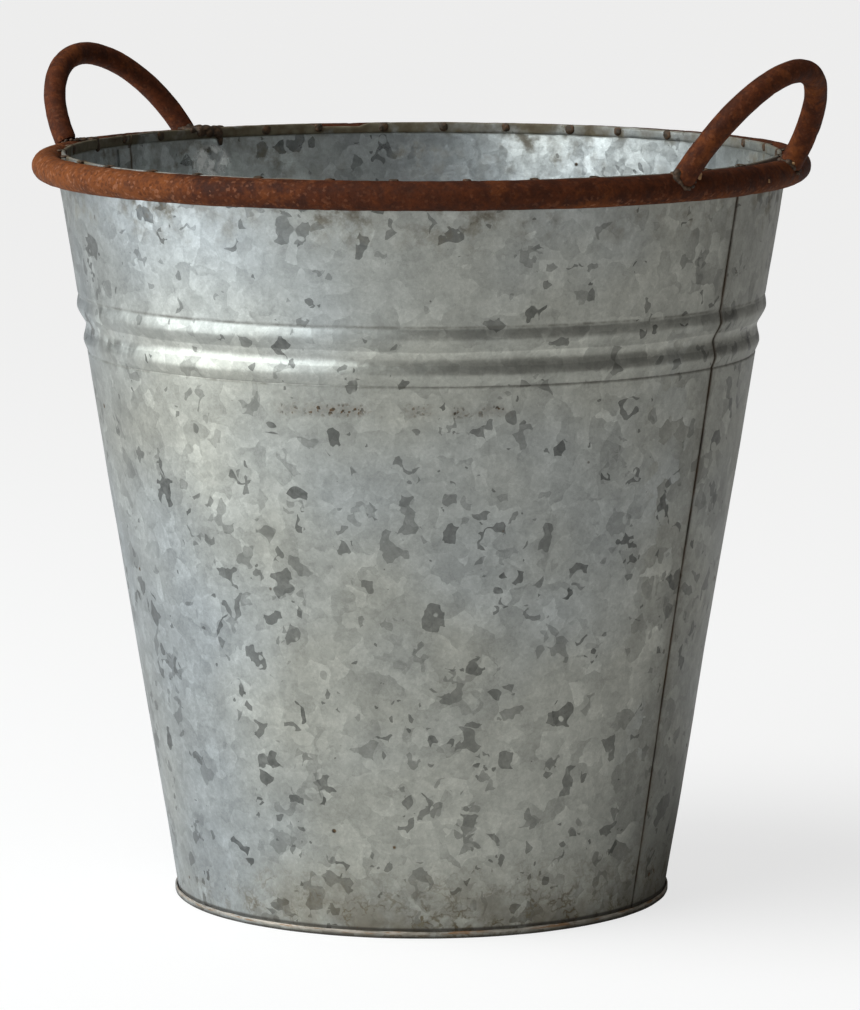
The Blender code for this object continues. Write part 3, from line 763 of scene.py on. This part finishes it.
def arch(half, height, power, side, low_a, low_b, steps=170):
    """Evenly spaced points along the loop, from one foot to the other."""
    raw = []
    for i in range(1601):
        t = math.pi * i / 1600
        across = -half * math.copysign(abs(math.cos(t)) ** (2 / power), math.cos(t))
        up = height * max(0.0, math.sin(t)) ** (2 / power)
        low = low_a if t < math.pi / 2 else low_b
        if up < low:
            continue
        raw.append(Vector((side * (HANDLE_R0 + up * math.sin(TILT)), side * across,
                           HANDLE_Z0 + up * math.cos(TILT))))
    dist = [0.0]
    for a, b in zip(raw, raw[1:]):
        dist.append(dist[-1] + (b - a).length)
    pts, j = [], 0
    for i in range(steps + 1):
        d = dist[-1] * i / steps
        while j < len(dist) - 2 and dist[j + 1] < d:
            j += 1
        f = (d - dist[j]) / max(1e-9, dist[j + 1] - dist[j])
        pts.append(raw[j].lerp(raw[j + 1], f))
    return pts


def handle(name, node, low_a, low_b):
    half, height, power, side = LOOPS[node]
    pts = arch(half, height, power, side, low_a, low_b)
    flat = Vector((side * math.cos(TILT), 0, -math.sin(TILT)))
    sides = 32
    verts = []
    n = len(pts)
    ends = 5
    for i, c in enumerate(pts):
        d = (pts[min(i + 1, n - 1)] - pts[max(i - 1, 0)]).normalized()
        u = flat.cross(d).normalized()
        v = d.cross(u).normalized()
        for k in range(sides):
            b = 2 * math.pi * k / sides
            out = math.cos(b) * u + math.sin(b) * v
            rr = lumpy(c + HROD * out, HROD, 0.16)
            near = min(i, n - 1 - i)
            if near < 2:                 # cut ends are a little rounded
                rr *= (0.90, 0.97)[near]
            verts.append(c + rr * out)
    faces = skin((n, sides), False, True)
    for row in (0, n - 1):
        faces.append(tuple(row * sides + k for k in range(sides)))
    obj = make(name, verts, faces, RUST_DARK, 55)
    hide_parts(node)
    return pts


right = handle("loop_right", "handle_right", 2.2 * MM, 3.2 * MM)
left = handle("loop_left", "handle_left", 3.0 * MM, 4.9 * MM)


# -------------------------------------------------------------------- welds --
def blobs(name, balls, voxel, mat, wobble=0.25, seed=0.0):
    """Weld metal: overlapping drops fused into one lumpy skin."""
    bm = bmesh.new()
    for centre, radii, axis in balls:
        got = bmesh.ops.create_icosphere(bm, subdivisions=3, radius=1.0)
        rot = Vector((0, 0, 1)).rotation_difference(Vector(axis).normalized()).to_matrix()
        for v in got["verts"]:
            v.co = Vector(centre) + rot @ Vector((v.co.x * radii[0], v.co.y * radii[1],
                                                  v.co.z * radii[2]))
    mesh = bpy.data.meshes.new(name)
    bm.to_mesh(mesh)
    bm.free()
    tmp = bpy.data.objects.new(name + "_tmp", mesh)
    bpy.context.scene.collection.objects.link(tmp)
    mod = tmp.modifiers.new("fuse", 'REMESH')
    mod.mode = 'VOXEL'
    mod.voxel_size = voxel
    sm = tmp.modifiers.new("soft", 'SMOOTH')
    sm.iterations = 3
    sm.factor = 0.5
    deps = bpy.context.evaluated_depsgraph_get()
    done = bpy.data.meshes.new_from_object(tmp.evaluated_get(deps))
    bpy.data.objects.remove(tmp, do_unlink=True)
    done.name = name
    for v in done.vertices:
        q = v.co / (1.6 * MM)
        k = n3(q.x + seed, q.y, q.z) * wobble * MM
        v.co += v.normal * k
    return dress(name, done, mat, 0)


def foot_frame(pts, node, end):
    half, height, power, side = LOOPS[node]
    across = -half if end == 0 else half
    i = 9
    up = ((pts[i] - pts[0]) if end == 0 else (pts[-1 - i] - pts[-1])).normalized()
    first = pts[0] if end == 0 else pts[-1]
    # where the leg's centreline leaves the ring
    radial = Vector((first.x, first.y, 0)).normalized()
    foot = first + up * 0.0
    while math.hypot(math.hypot(foot.x, foot.y) - RING_R, foot.z - RING_Z) < ROD:
        foot = foot + up * 0.1 * MM
    tangent = Vector((-radial.y, radial.x, 0))
    return foot, up, radial, tangent


def on_ring(p, sink):
    rr = Vector((math.hypot(p.x, p.y) - RING_R, p.z - RING_Z))
    rr = rr.normalized() * max(ROD - sink, min(rr.length, ROD + 1.2 * MM))
    c = Vector((p.x, p.y, 0)).normalized() * (RING_R + rr.x)
    return Vector((c.x, c.y, RING_Z + rr.y))


def foot_weld(name, node, rod, pts, end, recipe, extra, seed):
    foot, up, radial, tangent = foot_frame(pts, rod, end)
    balls = []
    for ang, lift, size, stretch in recipe:
        # ang: round the foot, 0 outwards, 90 along +tangent
        a = math.radians(ang)
        side = radial * math.cos(a) + tangent * math.sin(a)
        side = (side - up * side.dot(up)).normalized()
        p = foot + side * (HROD + 0.1 * MM)
        for _ in range(80):              # slide down the leg to the ring
            if math.hypot(math.hypot(p.x, p.y) - RING_R, p.z - RING_Z) <= ROD + 0.1 * MM:
                break
            p = p - up * 0.12 * MM
        p = on_ring(p, 0.2 * MM) + up * (lift * MM)
        balls.append((p, (size * MM, size * MM, size * stretch * MM), up + side * 0.3))
    for r, turn, z, radii in extra:
        a = math.atan2(foot.y, foot.x) + math.radians(turn)
        balls.append((Vector((r * MM * math.cos(a), r * MM * math.sin(a), z * MM)),
                      [c * MM for c in radii], (0, 0, 1)))
    obj = blobs(name, balls, 0.34 * MM, WELD, 0.28, seed)
    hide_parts(node)
    return foot, up, radial, tangent


rng = random.Random(3)


def bead_recipe(start, stop, n, size, lift):
    return [(start + (stop - start) * i / (n - 1), lift + rng.uniform(-0.2, 0.2),
             size * rng.uniform(0.8, 1.15), rng.uniform(0.8, 1.1)) for i in range(n)]


fa = foot_weld("weld_bead_right_a", "weld_right_a", "handle_right", right, 0,
               bead_recipe(-190, 50, 13, 0.95, 0.0)
               + [(-95, 1.6, 1.9, 1.0), (-80, -0.4, 1.7, 1.1), (-62, -1.9, 1.3, 1.1)],
               [(159.0, 0.0, 318.4, (2.5, 2.5, 1.2))], 1.0)
fb = foot_weld("weld_bead_right_b", "weld_right_b", "handle_right", right, 1,
               bead_recipe(-170, 170, 15, 0.95, 0.0)
               + [(-90, 0.6, 1.6, 1.0), (-60, 0.2, 1.4, 1.0), (150, 0.4, 1.5, 1.0)],
               [(159.0, 0.0, 318.4, (2.5, 2.5, 1.2))], 4.0)
fc = foot_weld("weld_bead_left_a", "weld_left_a", "handle_left", left, 0,
               bead_recipe(-170, 170, 14, 0.95, 0.0) + [(180, 0.5, 1.6, 1.0)],
               [(157.6, 0.2, 318.4, (3.4, 3.6, 1.5)), (155.0, -1.0, 318.7, (3.0, 3.6, 1.6)),
                (152.6, -1.6, 318.5, (2.6, 3.6, 1.7)), (151.7, -0.4, 317.2, (1.6, 3.2, 2.4)),
                (151.5, -2.4, 316.9, (1.6, 3.2, 2.6)), (151.4, -4.0, 316.2, (1.4, 2.6, 3.0)),
                (151.1, -4.3, 313.2, (0.9, 1.3, 2.4)), (153.0, -3.6, 318.5, (2.4, 3.4, 1.3)),
                (154.5, -5.0, 318.6, (1.6, 2.4, 0.9)), (152.0, 1.4, 318.0, (1.6, 2.6, 1.5))], 7.0)
fd = foot_weld("weld_bead_left_b", "weld_left_b", "handle_left", left, 1,
               bead_recipe(95, 290, 10, 0.95, 0.0) + [(60, 0.4, 1.2, 1.0)],
               [(157.0, -1.6, 318.6, (2.4, 2.4, 1.2)), (154.2, -2.4, 318.7, (2.4, 2.2, 1.2)),
                (152.2, -2.8, 317.9, (1.4, 2.2, 2.0)), (151.5, -3.0, 315.6, (1.0, 1.7, 2.6)),
                (159.2, 0.0, 318.2, (2.0, 2.2, 1.0))], 9.0)


def chip(name, at, size, seed):
    """A curled flake of pale scale stuck beside a weld."""
    bm = bmesh.new()
    got = bmesh.ops.create_icosphere(bm, subdivisions=3, radius=1.0)
    for v in got["verts"]:
        c = v.co.copy()
        k = 1 + 0.35 * n3(c.x * 1.4 + seed, c.y * 1.4, c.z * 1.4)
        v.co = Vector(at) + Vector((c.x * size[0], c.y * size[1], c.z * size[2])) * k * MM
    mesh = bpy.data.meshes.new(name)
    bm.to_mesh(mesh)
    bm.free()
    return dress(name, mesh, CHIP, 0)


foot, up, radial, tangent = fa
chip("scale_chip_a", on_ring(foot + tangent * 7.2 * MM - up * 0.6 * MM, 0.0) + up * 0.2 * MM,
     (1.9, 1.5, 2.3), 0.0)
foot, up, radial, tangent = fb
chip("scale_chip_b", on_ring(foot - tangent * 4.4 * MM + radial * 1.2 * MM, 0.0) + radial * 0.8 * MM,
     (0.8, 0.8, 0.8), 3.0)
turn = math.radians(3.9)
chip("scale_chip_c", Vector((math.cos(turn), math.sin(turn), 0)) * (RING_R + ROD - 0.25 * MM)
     + Vector((0, 0, RING_Z - 0.4 * MM)), (0.5, 0.7, 0.9), 6.0)


def tacks():
    names = sorted(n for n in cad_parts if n.startswith("rim_tack"))
    for i, n in enumerate(names):
        lo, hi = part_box(n)
        c = (lo + hi) / 2
        a = math.atan2(c.y, c.x)
        radial = Vector((math.cos(a), math.sin(a), 0))
        tangent = Vector((-radial.y, radial.x, 0))
        ri = R_COLLAR - SHEET - HEM_T
        s = 0.98 + 0.34 * rng.random()
        z = WALL_TOP
        at = lambda r, t, h: radial * (ri + r * MM) + tangent * t * MM + Vector((0, 0, z + h * MM))
        lean = rng.uniform(-0.5, 0.5)
        balls = [(at(0.15, 0, -1.3), (1.95 * s * MM, 0.85 * MM, 1.2 * MM), (0, 0, 1)),
                 (at(0.10, lean * 0.4, -2.25), (1.85 * s * MM, 0.95 * MM, 1.75 * s * MM), (0, 0, 1)),
                 (at(0.8, 0, -0.45), (1.8 * s * MM, 1.1 * MM, 0.45 * MM), (0, 0, 1)),
                 (at(2.5, -lean, -0.7), (1.5 * s * MM, 1.4 * MM, 0.6 * MM), (0, 0, 1))]
        turned = []
        spin = Vector((0, 1, 0)).rotation_difference(radial)
        for p, rad, ax in balls:
            turned.append((p, rad, ax))
        bm_name = n.replace("rim_tack", "tack_nugget")
        obj = tack_blob(bm_name, turned, a, i)
        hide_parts(n)


def tack_blob(name, balls, a, seed):
    bm = bmesh.new()
    for centre, radii, _ in balls:
        got = bmesh.ops.create_icosphere(bm, subdivisions=2, radius=1.0)
        for v in got["verts"]:
            t, r, h = v.co.x * radii[0], v.co.y * radii[1], v.co.z * radii[2]
            v.co = Vector(centre) + Vector((math.cos(a) * r - math.sin(a) * t,
                                            math.sin(a) * r + math.cos(a) * t, h))
    mesh = bpy.data.meshes.new(name)
    bm.to_mesh(mesh)
    bm.free()
    tmp = bpy.data.objects.new(name + "_tmp", mesh)
    bpy.context.scene.collection.objects.link(tmp)
    mod = tmp.modifiers.new("fuse", 'REMESH')
    mod.mode = 'VOXEL'
    mod.voxel_size = 0.26 * MM
    sm = tmp.modifiers.new("soft", 'SMOOTH')
    sm.iterations = 2
    deps = bpy.context.evaluated_depsgraph_get()
    done = bpy.data.meshes.new_from_object(tmp.evaluated_get(deps))
    bpy.data.objects.remove(tmp, do_unlink=True)
    done.name = name
    for v in done.vertices:
        q = v.co / (1.1 * MM)
        v.co += v.normal * n3(q.x + seed, q.y, q.z) * 0.14 * MM
    return dress(name, done, TACK, 0)


tacks()


# -------------------------------------------------------------------- stage --
def floor():
    bm = bmesh.new()
    bmesh.ops.create_circle(bm, cap_ends=True, segments=96, radius=14.0)
    mesh = bpy.data.meshes.new("floor")
    bm.to_mesh(mesh)
    bm.free()
    obj = bpy.data.objects.new("floor", mesh)
    bpy.context.scene.collection.objects.link(obj)
    mat = bpy.data.materials.new("pale_floor")
    mat.use_nodes = True
    b = mat.node_tree.nodes["Principled BSDF"]
    b.inputs["Base Color"].default_value = rgba(0.80, 0.80, 0.80)
    b.inputs["Roughness"].default_value = 0.9
    b.inputs["Specular IOR Level"].default_value = 0.1
    # seen straight on, the floor is lifted towards studio white
    nt = mat.node_tree
    glow = nt.nodes.new("ShaderNodeEmission")
    glow.inputs["Color"].default_value = rgba(1.0, 1.0, 1.0)
    glow.inputs["Strength"].default_value = 1.16
    seen = nt.nodes.new("ShaderNodeLightPath")
    part = nt.nodes.new("ShaderNodeMath")
    part.operation = "MULTIPLY"
    part.inputs[1].default_value = 0.62
    both = nt.nodes.new("ShaderNodeMixShader")
    nt.links.new(seen.outputs["Is Camera Ray"], part.inputs[0])
    nt.links.new(part.outputs[0], both.inputs[0])
    nt.links.new(b.outputs[0], both.inputs[1])
    nt.links.new(glow.outputs[0], both.inputs[2])
    nt.links.new(both.outputs[0], nt.nodes["Material Output"].inputs["Surface"])
    mesh.materials.append(mat)


floor()


def direction(az, el):
    """Unit vector from the pail towards a light: az from the camera, to its right."""
    p = math.radians(az + VIEW_AZ - 90)
    e = math.radians(el)
    return Vector((math.cos(e) * math.cos(p), math.cos(e) * math.sin(p), math.sin(e)))


def sun(name, az, el, strength, angle, color):
    data = bpy.data.lights.new(name, 'SUN')
    data.energy = strength
    data.angle = math.radians(angle)
    data.color = color
    obj = bpy.data.objects.new(name, data)
    obj.rotation_euler = (-direction(az, el)).to_track_quat('-Z', 'Y').to_euler()
    bpy.context.scene.collection.objects.link(obj)


def panel(name, az, dist, z, width, height, power, color, aim=0.2):
    data = bpy.data.lights.new(name, 'AREA')
    data.shape = 'RECTANGLE'
    data.size, data.size_y = width, height
    data.energy = power
    data.color = color
    obj = bpy.data.objects.new(name, data)
    at = direction(az, 0) * dist + Vector((0, 0, z))
    obj.location = at
    obj.rotation_euler = (Vector((0, 0, aim)) - at).to_track_quat('-Z', 'Y').to_euler()
    bpy.context.scene.collection.objects.link(obj)


panel("side_softbox", -68, 1.35, 0.90, 2.4, 1.3, 25.0, (0.93, 0.985, 1.0), 0.2)
panel("low_window", -74, 1.15, 0.16, 0.55, 0.34, 1.4, (0.93, 0.98, 1.0), 0.12)
sun("overhead", -60, 66, 1.05, 36, (1.0, 0.99, 0.97))

world = bpy.data.worlds.new("studio")
bpy.context.scene.world = world
world.use_nodes = True
wn = world.node_tree
bg = wn.nodes["Background"]
bg.inputs["Color"].default_value = rgba(0.124, 0.123, 0.119)
bg.inputs["Strength"].default_value = 1.0
bright = wn.nodes.new("ShaderNodeBackground")
bright.inputs["Color"].default_value = rgba(0.93, 0.93, 0.93)
path = wn.nodes.new("ShaderNodeLightPath")
mix = wn.nodes.new("ShaderNodeMixShader")
wn.links.new(path.outputs["Is Camera Ray"], mix.inputs[0])
wn.links.new(bg.outputs[0], mix.inputs[1])
wn.links.new(bright.outputs[0], mix.inputs[2])
wn.links.new(mix.outputs[0], wn.nodes["World Output"].inputs["Surface"])

bpy.context.scene.view_settings.view_transform = 'Standard'
bpy.context.scene.view_settings.look = 'None'

# ------------------------------------------------------------------- camera --
cam_data = bpy.data.cameras.new("camera")
cam = bpy.data.objects.new("camera", cam_data)
bpy.context.scene.collection.objects.link(cam)
cam_data.sensor_fit = 'HORIZONTAL'
cam_data.sensor_width = 36.0
cam_data.lens = 5777 / 860 * 36.0
cam_data.shift_x = 8.4 / 860
cam_data.clip_end = 100
cam.location = direction(0, 0) * 2.4482 + Vector((0, 0, 0.5136))
aim = -direction(0, 0) * math.cos(0.1409) + Vector((0, 0, -math.sin(0.1409)))
cam.rotation_euler = aim.to_track_quat('-Z', 'Y').to_euler()
bpy.context.scene.camera = cam

bpy.context.view_layer.update()
